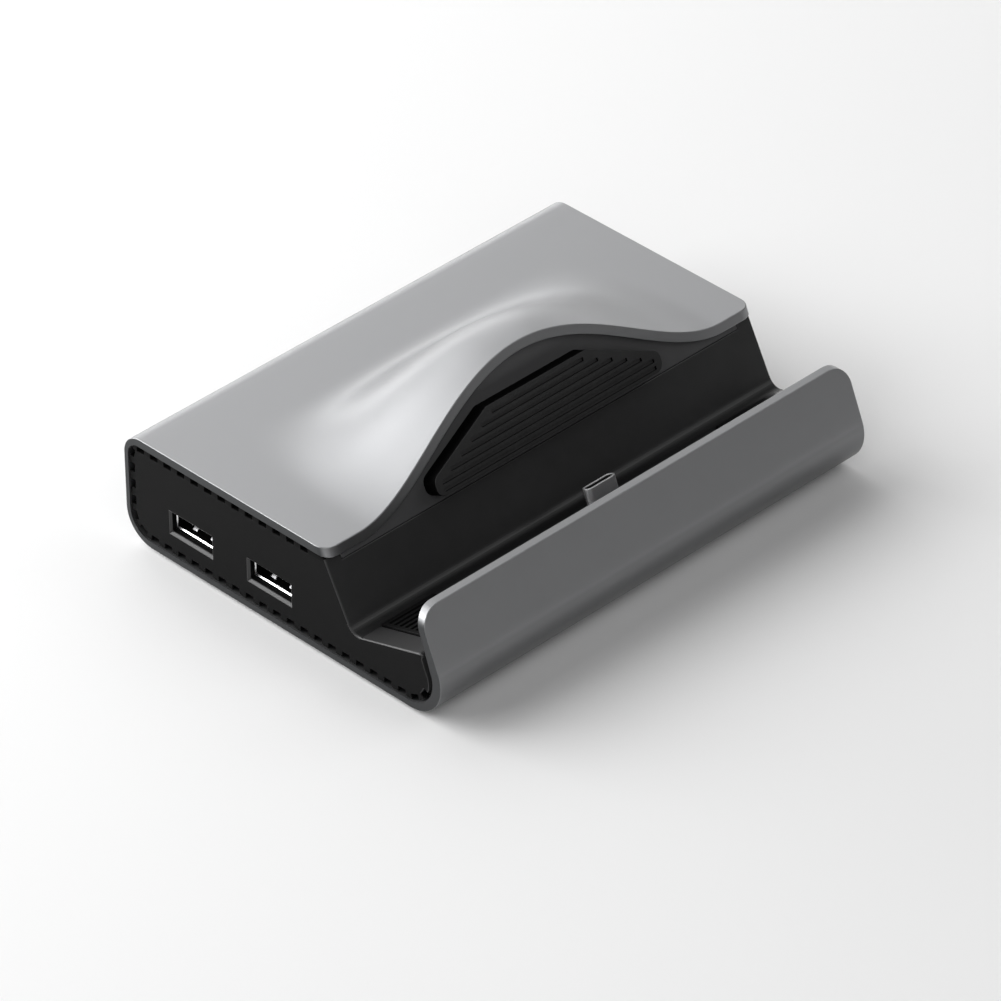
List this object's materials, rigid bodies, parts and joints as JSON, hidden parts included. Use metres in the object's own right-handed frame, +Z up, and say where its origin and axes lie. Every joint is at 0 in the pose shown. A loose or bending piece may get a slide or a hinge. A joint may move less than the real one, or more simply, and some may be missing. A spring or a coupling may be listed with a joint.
{
  "type": "handheld console dock",
  "caption": "Grey metal wrap-around dock with a humped back rest, a slot with an upright plug for a handheld console, and sockets in its ends.",
  "frame": {"origin": "centre of the bounding box at the underside of the rubber feet", "axes": "+X along the width, towards the end with the video and power sockets; +Y from the lip to the back; +Z up"},
  "size_m": [0.123, 0.092, 0.0442],
  "materials": {
    "shell_metal": "fine bead-blasted and anodised grey",
    "housing_black": "satin black moulding",
    "insert_black": "satin black moulding",
    "tray_black": "satin black moulding",
    "rubber_black": "ribbed matt rubber",
    "plug_steel": "satin nickel plate",
    "socket_steel": "bright folded sheet",
    "insulator_black": "glass-filled moulding",
    "connector_ivory": "plain moulding",
    "board_green": "solder mask",
    "ribbon_film": "polyimide film",
    "chip_black": "moulded package",
    "coil_grey": "pressed ferrite",
    "screw_dark": "black zinc",
    "foot_rubber": "matt rubber"
  },
  "bodies": {
    "root": {"base_tray": "tray_black", "case_screws": "screw_dark", "coil": "coil_grey", "feet": "foot_rubber", "housing": "housing_black", "hub_chip": "chip_black", "ledge_pad_left": "rubber_black", "ledge_pad_right": "rubber_black", "main_board": "board_green", "metal_shell": "shell_metal", "plug_board": "board_green", "plug_carrier": "insulator_black", "plug_insulator": "insulator_black", "plug_shell": "plug_steel", "power_chip": "chip_black", "power_socket": "socket_steel", "power_tongue": "insulator_black", "rest_insert": "insert_black", "rest_pad": "rubber_black", "ribbon_cable": "ribbon_film", "ribbon_socket": "connector_ivory", "usb_socket_front": "socket_steel", "usb_socket_rear": "socket_steel", "usb_tongue_front": "insulator_black", "usb_tongue_rear": "insulator_black", "video_chip": "chip_black", "video_socket": "socket_steel", "video_tongue": "insulator_black"}
  },
  "joints": []
}
